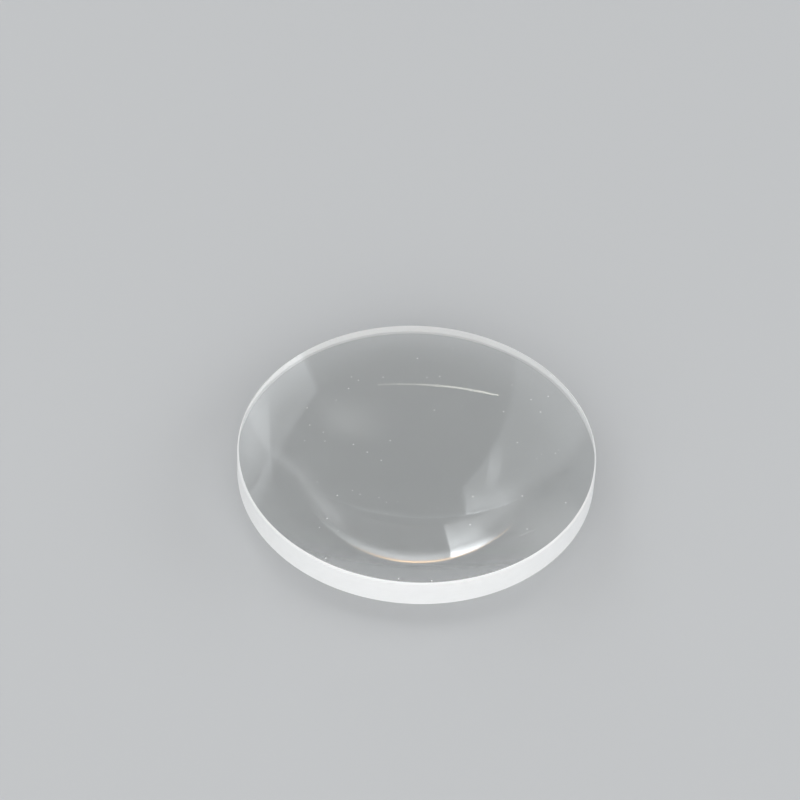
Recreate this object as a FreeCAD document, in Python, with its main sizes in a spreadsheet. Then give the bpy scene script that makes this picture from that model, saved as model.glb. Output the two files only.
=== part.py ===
import FreeCAD, Part
import math
import os
import Sketcher

# A round double-convex condenser lens, ground and polished from one piece of clear glass.
# Both faces are polished spheres. The edge is a finely ground cylinder, and a narrow ground
# bevel at 45 degrees breaks each of its two rims.
# Frame: millimetres, +Z up along the optical axis, origin at the lowest point of the underside,
# where the lens touches the surface that it rests on.

NODE = "lens"

# Driving dimensions, in millimetres: name in the sheet, value, meaning.
SIZES = [
    ("lens_diameter", 45.0, "diameter of the ground edge"),
    ("edge_thickness", 4.0, "height from the rim of the underside to the rim of the upper face"),
    ("upper_radius", 97.0, "radius of curvature of the upper face"),
    ("lower_radius", 97.0, "radius of curvature of the underside"),
    ("upper_bevel", 0.2, "width and height of the bevel at the upper rim"),
    ("lower_bevel", 0.3, "width and height of the bevel at the lower rim"),
]


def make_sheet(doc):
    """The sheet of driving dimensions, one row a size, with the size's name as its alias."""
    sheet = doc.addObject("Spreadsheet::Sheet", "Dimensions")
    for row, (alias, value, meaning) in enumerate(SIZES, start=1):
        sheet.set(f"A{row}", alias)
        sheet.set(f"B{row}", str(value))
        sheet.set(f"C{row}", meaning)
        sheet.setAlias(f"B{row}", alias)
    doc.recompute()
    return sheet


def sag(radius, reach):
    """How far a sphere falls away from its vertex at a distance, its reach, from the axis."""
    return radius - math.sqrt(radius ** 2 - reach ** 2)


def origin_plane(body, role):
    """One of the body's own origin planes."""
    return next(feature for feature in body.Origin.OriginFeatures if feature.Role == role)


def draw_half_section(body, sheet):
    """Half of the lens's section, from the optical axis out to the edge and back."""
    sketch = body.newObject("Sketcher::SketchObject", "HalfSection")
    sketch.AttachmentSupport = [(origin_plane(body, "XZ_Plane"), "")]
    sketch.MapMode = "FlatFace"

    # Where the corners lie, from the lowest point up.
    half = sheet.lens_diameter / 2
    lower_reach = half - sheet.lower_bevel
    upper_reach = half - sheet.upper_bevel
    lower_rim = sag(sheet.lower_radius, lower_reach)
    upper_rim = lower_rim + sheet.edge_thickness
    top = upper_rim + sag(sheet.upper_radius, upper_reach)

    def point(across, up):
        return FreeCAD.Vector(across, up, 0)

    def add_line(first, second):
        return sketch.addGeometry(Part.LineSegment(first, second), False)

    def add_arc(middle, radius, from_angle, to_angle):
        circle = Part.Circle(middle, FreeCAD.Vector(0, 0, 1), radius)
        return sketch.addGeometry(Part.ArcOfCircle(circle, from_angle, to_angle), False)

    straight_down, straight_up = -math.pi / 2, math.pi / 2
    lower_turn = math.asin(lower_reach / sheet.lower_radius)
    upper_turn = math.asin(upper_reach / sheet.upper_radius)
    edge_foot = point(half, lower_rim + sheet.lower_bevel)
    edge_head = point(half, upper_rim - sheet.upper_bevel)

    underside = add_arc(point(0, sheet.lower_radius), sheet.lower_radius,
                        straight_down, straight_down + lower_turn)
    lower_bevel = add_line(point(lower_reach, lower_rim), edge_foot)
    edge = add_line(edge_foot, edge_head)
    upper_bevel = add_line(edge_head, point(upper_reach, upper_rim))
    upper_face = add_arc(point(0, top - sheet.upper_radius), sheet.upper_radius,
                         straight_up - upper_turn, straight_up)
    axis = add_line(point(0, top), point(0, 0))

    # A curve's points are numbered. The sketch's own axes are curves too, and the start of the
    # one that runs across is the sketch's origin.
    start, end, centre = 1, 2, 3
    across_axis, optical_axis = -1, -2

    # The outline is closed, starts at the origin, and has both spheres centred on the axis.
    outline = [underside, lower_bevel, edge, upper_bevel, upper_face, axis]
    for curve, following in zip(outline, outline[1:] + outline[:1]):
        sketch.addConstraint(Sketcher.Constraint("Coincident", curve, end, following, start))
    sketch.addConstraint([
        Sketcher.Constraint("Coincident", underside, start, across_axis, start),
        Sketcher.Constraint("PointOnObject", underside, centre, optical_axis),
        Sketcher.Constraint("PointOnObject", upper_face, centre, optical_axis),
        Sketcher.Constraint("PointOnObject", upper_face, end, optical_axis),
        Sketcher.Constraint("Vertical", edge),
    ])

    def bind(name, expression, kind, *where):
        """Adds a size to the sketch and ties it to the sheet."""
        constraint = sketch.addConstraint(Sketcher.Constraint(kind, *where))
        sketch.renameConstraint(constraint, name)
        sketch.setExpression(f"Constraints.{name}", expression)

    bind("half_diameter", "Dimensions.lens_diameter / 2",
         "DistanceX", across_axis, start, edge, start, half)
    bind("edge_thickness", "Dimensions.edge_thickness",
         "DistanceY", underside, end, upper_face, start, sheet.edge_thickness)
    bind("lower_radius", "Dimensions.lower_radius",
         "Radius", underside, sheet.lower_radius)
    bind("upper_radius", "Dimensions.upper_radius",
         "Radius", upper_face, sheet.upper_radius)
    bind("lower_bevel_width", "Dimensions.lower_bevel",
         "DistanceX", lower_bevel, start, lower_bevel, end, sheet.lower_bevel)
    bind("lower_bevel_height", "Dimensions.lower_bevel",
         "DistanceY", lower_bevel, start, lower_bevel, end, sheet.lower_bevel)
    bind("upper_bevel_width", "Dimensions.upper_bevel",
         "DistanceX", upper_bevel, end, upper_bevel, start, sheet.upper_bevel)
    bind("upper_bevel_height", "Dimensions.upper_bevel",
         "DistanceY", upper_bevel, start, upper_bevel, end, sheet.upper_bevel)
    return sketch


def make_lens(doc, sheet):
    """The whole lens: its half section turned once about the optical axis."""
    body = doc.addObject("PartDesign::Body", "Lens")
    body.Label = NODE
    sketch = draw_half_section(body, sheet)
    turned = body.newObject("PartDesign::Revolution", "TurnedGlass")
    turned.Profile = sketch
    turned.ReferenceAxis = (sketch, ["V_Axis"])
    turned.Angle = 360
    body.Placement = FreeCAD.Placement()
    return body


def check(doc, bodies):
    """Stops before anything is written if an object failed or a shape isn't sound."""
    for item in doc.Objects:
        if "Invalid" in item.State or "Error" in item.State:
            raise RuntimeError(f"{item.Name} failed: {item.State}")
    for body in bodies:
        if body.Shape.isNull() or not body.Shape.isValid():
            raise RuntimeError(f"{body.Label} has no sound shape")
        if len(body.Shape.Solids) != 1:
            raise RuntimeError(f"{body.Label} has {len(body.Shape.Solids)} solids")


def main():
    doc = FreeCAD.newDocument("CondenserLens")
    sheet = make_sheet(doc)
    bodies = [make_lens(doc, sheet)]
    doc.recompute()
    check(doc, bodies)

    os.makedirs("parts", exist_ok=True)
    for body in bodies:
        body.Shape.exportStep(f"parts/{body.Label}.step")
        box = body.Shape.BoundBox
        print(f"{body.Label}: {box.XLength:.3f} x {box.YLength:.3f} x {box.ZLength:.3f} mm,"
              f" {body.Shape.Volume:.1f} mm3")


main()
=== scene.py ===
import math
from collections import namedtuple

import bpy
import numpy as np
from mathutils import Matrix, Vector


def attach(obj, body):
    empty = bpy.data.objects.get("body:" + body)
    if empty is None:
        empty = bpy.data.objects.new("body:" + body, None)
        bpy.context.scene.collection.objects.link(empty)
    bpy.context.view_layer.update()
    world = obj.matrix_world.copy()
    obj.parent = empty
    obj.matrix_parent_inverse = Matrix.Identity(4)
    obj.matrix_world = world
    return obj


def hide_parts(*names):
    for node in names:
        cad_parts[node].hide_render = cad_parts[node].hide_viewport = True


# A double-convex condenser lens lying on its underside: clear polished faces, a white ground edge.
# Everything is in metres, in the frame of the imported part: +Z up along the optical axis, and the
# origin where the underside touches the floor.

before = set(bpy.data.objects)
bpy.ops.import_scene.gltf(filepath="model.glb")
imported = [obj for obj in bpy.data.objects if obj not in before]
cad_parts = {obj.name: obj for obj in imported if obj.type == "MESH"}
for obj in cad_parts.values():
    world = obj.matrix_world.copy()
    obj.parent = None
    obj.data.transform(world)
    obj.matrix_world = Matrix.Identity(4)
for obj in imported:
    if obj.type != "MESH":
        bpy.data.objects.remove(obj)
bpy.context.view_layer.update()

MM = 0.001

# The sizes of the lens, in millimetres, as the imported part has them.
HALF_DIAMETER = 22.5
EDGE_THICKNESS = 4.0
UPPER_RADIUS = 97.0
LOWER_RADIUS = 97.0
UPPER_BEVEL = 0.2
LOWER_BEVEL = 0.3

# How finely the mesh follows them: steps round the axis, rings on each polished face, and rows up
# the edge.
SEGMENTS = 540
CAP_RINGS = 44
EDGE_ROWS = 8


def sag(radius, reach):
    """How far a sphere falls away from its vertex at a distance, its reach, from the axis."""
    return radius - math.sqrt(radius ** 2 - reach ** 2)


LOWER_REACH = HALF_DIAMETER - LOWER_BEVEL
UPPER_REACH = HALF_DIAMETER - UPPER_BEVEL
LOWER_RIM = sag(LOWER_RADIUS, LOWER_REACH)
UPPER_RIM = LOWER_RIM + EDGE_THICKNESS
TOP = UPPER_RIM + sag(UPPER_RADIUS, UPPER_REACH)
EDGE_FOOT = LOWER_RIM + LOWER_BEVEL
EDGE_HEAD = UPPER_RIM - UPPER_BEVEL


# ---- materials

GLASS_IOR = 1.517
GLASS_TINT = (0.985, 0.995, 0.99, 1.0)

# Dust lies in a few of the cells of a flat pattern. The chance and the reach of a speck are shares
# of a cell.
DUST_CELLS_PER_METRE = 900.0
DUST_SHIFT = (0.031, 0.017, 0.0)
DUST_TURN = (0.0, 0.0, 0.6)
DUST_CHANCE_ABOVE = 0.955
DUST_SMALLEST, DUST_LARGEST = 0.03, 0.1
DUST_ROUGHNESS = 0.7

GROUND_TINT = (0.985, 0.993, 0.993)
GROUND_SPECULAR = 0.35
GROUND_ROUGHNESS = {"To Min": 0.55, "To Max": 0.85}
GROUND_SHADE = {"From Min": 0.3, "From Max": 0.7, "To Min": 0.975, "To Max": 1.0}
# The share of the light that goes through, from outside and from inside.
GROUND_THROUGH = {"To Min": 0.25, "To Max": 0.95}
GROUND_BUMP = {"Strength": 0.35, "Distance": 0.00002}
GRAIN = {"Scale": 9000.0, "Detail": 3.0, "Roughness": 0.6}
MOTTLE = {"Scale": 900.0, "Detail": 2.0}
MARKS = {"Scale": 1.0, "Detail": 2.0}
MARKS_PER_METRE = (300.0, 300.0, 14000.0)

FLOOR_TINT = (0.58, 0.59, 0.6, 1.0)
FLOOR_ROUGHNESS = 0.6


def new_material(name):
    material = bpy.data.materials.new(name)
    material.use_nodes = True
    material.node_tree.nodes.clear()
    return material


def add_node(tree, kind, inputs=None, **settings):
    """A node with its properties set by name, and its inputs by the names or numbers in inputs."""
    node = tree.nodes.new(kind)
    for name, value in (inputs or {}).items():
        node.inputs[name].default_value = value
    for name, value in settings.items():
        setattr(node, name, value)
    return node


def calculate(tree, operation, first, second):
    """The result of a Math node. The first value is a socket, and the second a socket or number."""
    node = add_node(tree, "ShaderNodeMath", operation=operation)
    tree.links.new(first, node.inputs[0])
    if isinstance(second, float):
        node.inputs[1].default_value = second
    else:
        tree.links.new(second, node.inputs[1])
    return node.outputs[0]


def multiply(tree, factors):
    """The factors, which are sockets, multiplied one after the other."""
    product = factors[0]
    for factor in factors[1:]:
        product = calculate(tree, "MULTIPLY", product, factor)
    return product


def remap(tree, value, limits, **settings):
    """The socket's value, mapped from one range to another."""
    node = add_node(tree, "ShaderNodeMapRange", limits, **settings)
    tree.links.new(value, node.inputs["Value"])
    return node.outputs["Result"]


def noise(tree, where, inputs):
    node = add_node(tree, "ShaderNodeTexNoise", inputs)
    tree.links.new(where, node.inputs["Vector"])
    return node.outputs["Fac"]


def dust(tree):
    """1 on the specks of dust that lie on the upper face, and 0 elsewhere."""
    link = tree.links.new
    place = add_node(tree, "ShaderNodeTexCoord").outputs["Object"]
    shift = add_node(tree, "ShaderNodeMapping", {"Location": DUST_SHIFT, "Rotation": DUST_TURN})
    link(place, shift.inputs["Vector"])
    cells = add_node(tree, "ShaderNodeTexVoronoi", {"Scale": DUST_CELLS_PER_METRE},
                     voronoi_dimensions="2D")
    link(shift.outputs["Vector"], cells.inputs["Vector"])
    chance = add_node(tree, "ShaderNodeSeparateColor")
    link(cells.outputs["Color"], chance.inputs["Color"])
    height = add_node(tree, "ShaderNodeSeparateXYZ")
    link(place, height.inputs["Vector"])

    dusty = calculate(tree, "GREATER_THAN", chance.outputs["Red"], DUST_CHANCE_ABOVE)
    size = remap(tree, chance.outputs["Green"], {"To Min": DUST_SMALLEST, "To Max": DUST_LARGEST})
    near = calculate(tree, "LESS_THAN", cells.outputs["Distance"], size)
    above = calculate(tree, "GREATER_THAN", height.outputs["Z"], UPPER_RIM * MM)
    return multiply(tree, [dusty, near, above])


def polished_glass():
    """Clear crown glass, with a few specks of dust lying on the upper face."""
    material = new_material("polished_glass")
    tree = material.node_tree
    link = tree.links.new
    output = add_node(tree, "ShaderNodeOutputMaterial")
    glass = add_node(tree, "ShaderNodeBsdfPrincipled", {
        "Base Color": GLASS_TINT,
        "Transmission Weight": 1.0,
        "IOR": GLASS_IOR,
        "Sheen Roughness": 1.0,
    })
    link(glass.outputs["BSDF"], output.inputs["Surface"])
    specks = dust(tree)
    link(calculate(tree, "MULTIPLY", specks, DUST_ROUGHNESS), glass.inputs["Roughness"])
    link(specks, glass.inputs["Sheen Weight"])
    return material


def ground_glass():
    """The ground edge and bevels: white glass with a fine tooth, marked round by the grinding.
    It scatters the light that falls on it from outside as well as the light inside the lens."""
    material = new_material("ground_glass")
    tree = material.node_tree
    link = tree.links.new
    output = add_node(tree, "ShaderNodeOutputMaterial")
    outer = add_node(tree, "ShaderNodeBsdfPrincipled", {
        "IOR": GLASS_IOR, "Specular IOR Level": GROUND_SPECULAR})
    through = add_node(tree, "ShaderNodeBsdfTranslucent")
    both = add_node(tree, "ShaderNodeMixShader")
    side = add_node(tree, "ShaderNodeNewGeometry")
    link(remap(tree, side.outputs["Backfacing"], GROUND_THROUGH), both.inputs[0])
    link(outer.outputs["BSDF"], both.inputs[1])
    link(through.outputs["BSDF"], both.inputs[2])
    link(both.outputs["Shader"], output.inputs["Surface"])

    place = add_node(tree, "ShaderNodeTexCoord").outputs["Object"]
    stretch = add_node(tree, "ShaderNodeMapping", {"Scale": MARKS_PER_METRE})
    link(place, stretch.inputs["Vector"])
    grain = noise(tree, place, GRAIN)
    marks = noise(tree, stretch.outputs["Vector"], MARKS)
    mottle = noise(tree, place, MOTTLE)

    tone = add_node(tree, "ShaderNodeVectorMath", {0: GROUND_TINT}, operation="SCALE")
    shades = [remap(tree, texture, GROUND_SHADE) for texture in (grain, marks, mottle)]
    link(multiply(tree, shades), tone.inputs["Scale"])
    link(tone.outputs["Vector"], outer.inputs["Base Color"])
    link(tone.outputs["Vector"], through.inputs["Color"])
    link(remap(tree, marks, GROUND_ROUGHNESS), outer.inputs["Roughness"])

    bump = add_node(tree, "ShaderNodeBump", GROUND_BUMP)
    link(calculate(tree, "ADD", grain, marks), bump.inputs["Height"])
    link(bump.outputs["Normal"], outer.inputs["Normal"])
    return material


# ---- the lens

# The places of the two materials on the mesh.
POLISHED, GROUND = 0, 1

# One ring of the mesh: how far it lies from the axis, its height, the finish of the band that
# starts there and goes up, and whether the ring is a sharp corner.
Ring = namedtuple("Ring", "reach height finish corner")


def cap(radius, rim_reach):
    """Reach and fall of each ring of a polished face between its vertex and its rim."""
    turn = math.asin(rim_reach / radius)
    angles = [turn * i / CAP_RINGS for i in range(1, CAP_RINGS)]
    return [(radius * math.sin(angle), radius * (1 - math.cos(angle))) for angle in angles]


def section():
    """The rings of the lens between its lowest and its highest point, from the bottom up."""
    rings = [Ring(reach, fall, POLISHED, False) for reach, fall in cap(LOWER_RADIUS, LOWER_REACH)]
    rings.append(Ring(LOWER_REACH, LOWER_RIM, GROUND, True))
    for i in range(EDGE_ROWS + 1):
        height = EDGE_FOOT + (EDGE_HEAD - EDGE_FOOT) * i / EDGE_ROWS
        rings.append(Ring(HALF_DIAMETER, height, GROUND, i in (0, EDGE_ROWS)))
    rings.append(Ring(UPPER_REACH, UPPER_RIM, POLISHED, True))
    for reach, fall in reversed(cap(UPPER_RADIUS, UPPER_REACH)):
        rings.append(Ring(reach, TOP - fall, POLISHED, False))
    return rings


def make_lens(materials):
    """The whole lens as one closed mesh, with its rims and the ends of its edge sharp."""
    rings = section()
    last = len(rings) - 1
    turns = np.arange(SEGMENTS) * (2 * math.pi / SEGMENTS)
    across, along = np.cos(turns), np.sin(turns)
    vertices = [(0.0, 0.0, 0.0)]
    for reach, height, _, _ in rings:
        vertices += [(reach * c * MM, reach * s * MM, height * MM) for c, s in zip(across, along)]
    vertices.append((0.0, 0.0, TOP * MM))
    apex = len(vertices) - 1

    def at(ring, step):
        return 1 + ring * SEGMENTS + step % SEGMENTS

    def ring_of(vertex):
        return (vertex - 1) // SEGMENTS

    faces, finishes = [], []
    for step in range(SEGMENTS):
        faces.append((0, at(0, step + 1), at(0, step)))
        finishes.append(POLISHED)
    for ring in range(last):
        for step in range(SEGMENTS):
            faces.append((at(ring, step), at(ring, step + 1),
                          at(ring + 1, step + 1), at(ring + 1, step)))
            finishes.append(rings[ring].finish)
    for step in range(SEGMENTS):
        faces.append((at(last, step), at(last, step + 1), apex))
        finishes.append(POLISHED)

    mesh = bpy.data.meshes.new("lens_glass")
    mesh.from_pydata(vertices, [], faces)
    for material in materials:
        mesh.materials.append(material)
    mesh.polygons.foreach_set("material_index", finishes)
    mesh.polygons.foreach_set("use_smooth", [True] * len(faces))
    corners = {i for i, ring in enumerate(rings) if ring.corner}
    sharp = []
    for edge in mesh.edges:
        first, second = (ring_of(vertex) for vertex in edge.vertices)
        sharp.append(first == second and first in corners)
    mesh.attributes.new("sharp_edge", "BOOLEAN", "EDGE").data.foreach_set("value", sharp)
    mesh.validate()
    mesh.update()
    piece = bpy.data.objects.new("lens_glass", mesh)
    bpy.context.scene.collection.objects.link(piece)
    return piece


lens = make_lens([polished_glass(), ground_glass()])
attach(lens, "root")
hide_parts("lens")


# ---- floor, light and camera

FLOOR_REACH = 3.0

WORLD_TINT = (1.0, 1.0, 1.0, 1.0)
WORLD_STRENGTH = 0.36

WHITE = (1.0, 1.0, 1.0)
LEFT_TINT = (0.95, 0.98, 1.0)
WINDOW_TINT = (0.93, 0.97, 1.0)
RIGHT_TINT = (0.96, 0.98, 1.0)
HORIZON_TINT = (0.94, 0.97, 1.0)
SILL_TINT = (1.0, 0.62, 0.3)
TUBE_TINT = (1.0, 0.96, 0.86)

# Each panel's name, corners, radiance, tint and feather, as add_softbox takes them.
PANELS = [
    # The dim wall at the left, and its brighter pane.
    ("left_wall", ((-0.8, 3.6, 0.76), (-0.8, -0.32, -0.05), (-0.8, 3.29, 2.26)),
     0.9, LEFT_TINT, (0.06, 0.1, 0.3, 0.1)),
    ("left_pane", ((-0.8, 2.27, 1.35), (-0.8, 1.976, 0.885), (-0.8, 1.21, 2.02)),
     1.5, LEFT_TINT, (0.14, 0.4, 0.5, 0.5)),
    # The low window on the far side, brightest at its foot.
    ("low_window", ((-0.341, 1.5, 0.06), (-0.941, 1.5, 0.03), (-0.395, 1.5, 1.15)),
     1.9, WINDOW_TINT, (0.02, 0.5, 0.03, 0.8)),
    ("window_foot", ((-0.341, 1.49, 0.05), (-0.941, 1.49, 0.02), (-0.358, 1.49, 0.39)),
     3.0, WINDOW_TINT, (0.02, 0.5, 0.03, 0.9)),
    # The light from the right, bright below and dim above.
    ("right_wall", ((0.8, -0.5, 0.08), (0.8, 0.85, 0.08), (0.8, -0.5, 0.95)),
     2.0, RIGHT_TINT, (0.2, 0.4, 0.2, 0.8)),
    ("right_top", ((0.95, 1.15, 1.4), (0.15, 1.15, 1.4), (0.95, 0.35, 1.4)),
     1.2, WHITE, (0.5, 0.5, 0.5, 0.5)),
    # A dim fill, low at the left.
    ("left_low", ((-1.2, 0.6, 0.02), (-1.2, -1.0, 0.02), (-1.2, 0.6, 0.6)),
     0.8, WHITE, (0.4, 0.3, 0.1, 0.7)),
    # A low strip of light along the far side, a warm sill in front of it, and a low panel at the
    # right.
    ("horizon", ((1.9, 1.6, 0.06), (-1.9, 1.6, 0.06), (1.9, 1.6, 0.45)),
     1.15, HORIZON_TINT, (0.4, 0.4, 0.1, 0.8)),
    ("warm_sill", ((0.8, 1.5, 0.0), (-1.3, 1.5, 0.0), (0.8, 1.5, 0.085)),
     3.0, SILL_TINT, (0.4, 0.1, 0.02, 0.3)),
    ("far_right", ((1.25, 0.9, 0.15), (0.6, 1.35, 0.15), (1.25, 0.9, 0.85)),
     1.0, RIGHT_TINT, (0.4, 0.4, 0.5, 0.5)),
    # The wide key behind the camera.
    ("key", ((-1.7, -1.1, 0.03), (1.7, -1.1, 0.03), (-1.7, -1.1, 1.8)),
     2.1, WHITE, (0.3, 0.3, 0.05, 0.6)),
]

# The ceiling tube: the points that it bends at, from right to left, then its height, its width, and
# the radiance of its first run and what each further run adds.
TUBE_POINTS = [
    (0.316, 0.325), (0.17, 0.304), (0.03, 0.296), (-0.10, 0.297),
    (-0.23, 0.305), (-0.36, 0.327), (-0.48, 0.355), (-0.615, 0.387),
]
TUBE_HEIGHT, TUBE_WIDTH = 1.5, 0.02
TUBE_RADIANCE, TUBE_RISE = 2.5, 1.5
TUBE_FEATHER = (0.02, 0.02, 0.02, 0.02)


def make_floor():
    """The plain pale floor, which is no part of the lens."""
    far = FLOOR_REACH
    mesh = bpy.data.meshes.new("floor")
    mesh.from_pydata([(-far, -far, 0), (far, -far, 0), (far, far, 0), (-far, far, 0)],
                     [], [(0, 1, 2, 3)])
    floor = bpy.data.objects.new("floor", mesh)
    bpy.context.scene.collection.objects.link(floor)
    material = new_material("studio_floor")
    tree = material.node_tree
    output = add_node(tree, "ShaderNodeOutputMaterial")
    paint = add_node(tree, "ShaderNodeBsdfPrincipled", {
        "Base Color": FLOOR_TINT, "Roughness": FLOOR_ROUGHNESS})
    tree.links.new(paint.outputs["BSDF"], output.inputs["Surface"])
    mesh.materials.append(material)


def make_world():
    world = bpy.data.worlds.new("studio")
    world.use_nodes = True
    background = world.node_tree.nodes["Background"]
    background.inputs["Color"].default_value = WORLD_TINT
    background.inputs["Strength"].default_value = WORLD_STRENGTH
    bpy.context.scene.world = world


def add_softbox(name, corners, radiance, tint, feather):
    """A lit panel, given by three of its corners as they are seen from the lens: lower right, lower
    left and upper right. Feather is the share of the panel over which its light fades in from each
    side: right, left, bottom and top."""
    lower_right, lower_left, upper_right = (Vector(corner) for corner in corners)
    across, rise = lower_left - lower_right, upper_right - lower_right
    light = bpy.data.lights.new(name, "AREA")
    light.shape = "RECTANGLE"
    light.size, light.size_y = across.length, rise.length
    light.energy = radiance * math.pi * light.size * light.size_y
    light.color = tint

    light.use_nodes = True
    tree = light.node_tree
    tree.nodes.clear()
    link = tree.links.new
    output = add_node(tree, "ShaderNodeOutputLight")
    glow = add_node(tree, "ShaderNodeEmission")
    link(glow.outputs["Emission"], output.inputs["Surface"])
    where = add_node(tree, "ShaderNodeNewGeometry")
    split = add_node(tree, "ShaderNodeSeparateXYZ")
    link(where.outputs["Parametric"], split.inputs["Vector"])
    fades = []
    for axis, (low, high) in (("X", feather[:2]), ("Y", feather[2:])):
        for start, full in ((0.0, low), (1.0, 1.0 - high)):
            fades.append(remap(tree, split.outputs[axis], {"From Min": start, "From Max": full},
                               interpolation_type="SMOOTHSTEP"))
    link(multiply(tree, fades), glow.inputs["Strength"])

    lamp = bpy.data.objects.new(name, light)
    x_axis, y_axis = across.normalized(), rise.normalized()
    turn = Matrix((x_axis, y_axis, x_axis.cross(y_axis))).transposed()
    lamp.matrix_world = Matrix.Translation(lower_right + (across + rise) / 2) @ turn.to_4x4()
    lamp.visible_camera = False
    bpy.context.scene.collection.objects.link(lamp)


def add_ceiling_tube():
    """The bent tube, in short straight runs, each brighter than the one to its right."""
    for i, (first, second) in enumerate(zip(TUBE_POINTS, TUBE_POINTS[1:])):
        start, end = Vector((*first, TUBE_HEIGHT)), Vector((*second, TUBE_HEIGHT))
        side = Vector((0, 0, 1)).cross(end - start).normalized() * TUBE_WIDTH
        add_softbox(f"tube_{i + 1}", (start, end, start + side), TUBE_RADIANCE + TUBE_RISE * i,
                    TUBE_TINT, TUBE_FEATHER)


def add_camera():
    """The photo's view: 46.7 degrees above the floor, 18 lens radii away, turned 3 degrees. The
    origin of the part lies at the given centre of an image that is width_px wide and high."""
    distance = 18.0 * HALF_DIAMETER * MM
    elevation, roll = math.radians(46.7), math.radians(3.0)
    focal_px, centre_x, centre_y, width_px = 3193.0, 415.1, 485.2, 800.0
    place = Vector((0.0, -distance * math.cos(elevation), distance * math.sin(elevation)))
    forward = -place.normalized()
    right = Vector((1.0, 0.0, 0.0))
    up = right.cross(forward)
    axis_x = math.cos(roll) * right + math.sin(roll) * up
    axis_y = -math.sin(roll) * right + math.cos(roll) * up
    data = bpy.data.cameras.new("camera")
    data.sensor_width = 36.0
    data.lens = focal_px / width_px * data.sensor_width
    data.shift_x = (width_px / 2 - centre_x) / width_px
    data.shift_y = (centre_y - width_px / 2) / width_px
    data.clip_start, data.clip_end = 0.01, 20.0
    camera = bpy.data.objects.new("camera", data)
    turn = Matrix((axis_x, axis_y, -forward)).transposed()
    camera.matrix_world = Matrix.Translation(place) @ turn.to_4x4()
    bpy.context.scene.collection.objects.link(camera)
    bpy.context.scene.camera = camera


make_floor()
make_world()
for panel in PANELS:
    add_softbox(*panel)
add_ceiling_tube()
add_camera()
bpy.context.scene.view_settings.view_transform = "Standard"
